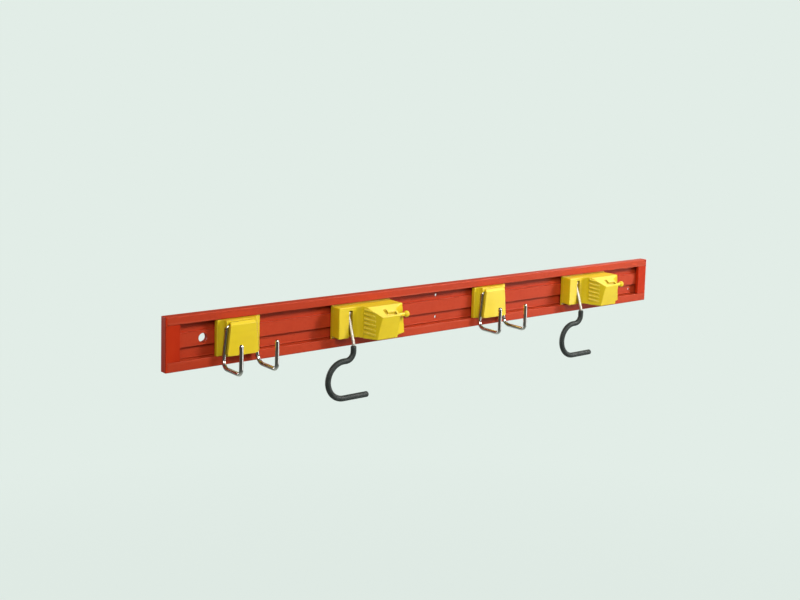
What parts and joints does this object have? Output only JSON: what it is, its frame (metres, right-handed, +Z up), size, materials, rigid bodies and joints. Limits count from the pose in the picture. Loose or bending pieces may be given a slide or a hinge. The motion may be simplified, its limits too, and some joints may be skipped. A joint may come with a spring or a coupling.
{
  "type": "wall tool holder rail",
  "caption": "Wall rail of C-section with end caps, carrying sliding holders: bent-wire double hooks, and dock blocks with a spring catch and a hanging coated hook.",
  "frame": {"origin": "middle of the rail's flat back face, on the wall", "axes": "+X along the rail to the right as seen from the front, +Y into the wall, +Z up; the front faces -Y"},
  "size_m": [0.9, 0.0665, 0.139],
  "materials": {
    "rail_red": "orange-red powder coat, satin",
    "cap_red": "moulded red plastic, satin",
    "yellow": "moulded yellow plastic, semi-gloss",
    "wire": "zinc-plated steel wire",
    "coating": "dark grey dipped coating, satin",
    "steel": "plain steel"
  },
  "bodies": {
    "rail": {"rail": "rail_red", "end_cap_left": "cap_red", "end_cap_right": "cap_red"},
    "hook_holder_a": {"hook_carriage_a": "yellow", "hook_cover_a": "yellow", "hook_wire_a": "wire", "hook_brake_a": "steel", "hook_screws_a": "steel"},
    "hook_holder_b": {"hook_carriage_b": "yellow", "hook_cover_b": "yellow", "hook_wire_b": "wire", "hook_brake_b": "steel", "hook_screws_b": "steel"},
    "dock_holder_a": {"dock_carriage_a": "yellow", "dock_shell_a": "yellow", "dock_pin_a": "steel", "dock_coil_a": "steel", "dock_brake_a": "steel", "dock_screws_a": "steel"},
    "dock_hook_a": {"dock_wire_a": "wire", "dock_sleeve_a": "coating"},
    "dock_catch_a": {"dock_plunger_a": "yellow"},
    "dock_holder_b": {"dock_carriage_b": "yellow", "dock_shell_b": "yellow", "dock_pin_b": "steel", "dock_coil_b": "steel", "dock_brake_b": "steel", "dock_screws_b": "steel"},
    "dock_hook_b": {"dock_wire_b": "wire", "dock_sleeve_b": "coating"},
    "dock_catch_b": {"dock_plunger_b": "yellow"}
  },
  "joints": [
    {"name": "hook_holder_a_slide", "type": "slide", "parent": "rail", "child": "hook_holder_a", "axis": [1, 0, 0], "range_m": [-0.046, 0.043]},
    {"name": "dock_holder_a_slide", "type": "slide", "parent": "rail", "child": "dock_holder_a", "axis": [1, 0, 0], "range_m": [-0.045, 0.072]},
    {"name": "hook_holder_b_slide", "type": "slide", "parent": "rail", "child": "hook_holder_b", "axis": [1, 0, 0], "range_m": [-0.072, 0.048]},
    {"name": "dock_holder_b_slide", "type": "slide", "parent": "rail", "child": "dock_holder_b", "axis": [1, 0, 0], "range_m": [-0.048, 0.072]},
    {"name": "dock_hook_a_swing", "type": "hinge", "parent": "dock_holder_a", "child": "dock_hook_a", "pos_m": [-0.18213, -0.021, 0.0127], "axis": [-1, 0, 0], "range_deg": [-12, 80]},
    {"name": "dock_catch_a_slide", "type": "slide", "parent": "dock_holder_a", "child": "dock_catch_a", "axis": [-1, 0, 0], "range_m": [0, 0.0035], "stiffness_N_per_m": 800, "springref_m": -0.004, "deforming": ["dock_coil_a"]},
    {"name": "dock_hook_b_swing", "type": "hinge", "parent": "dock_holder_b", "child": "dock_hook_b", "pos_m": [0.26644, -0.021, 0.0127], "axis": [-1, 0, 0], "range_deg": [-12, 80]},
    {"name": "dock_catch_b_slide", "type": "slide", "parent": "dock_holder_b", "child": "dock_catch_b", "axis": [-1, 0, 0], "range_m": [0, 0.0035], "stiffness_N_per_m": 800, "springref_m": -0.004, "deforming": ["dock_coil_b"]}
  ]
}
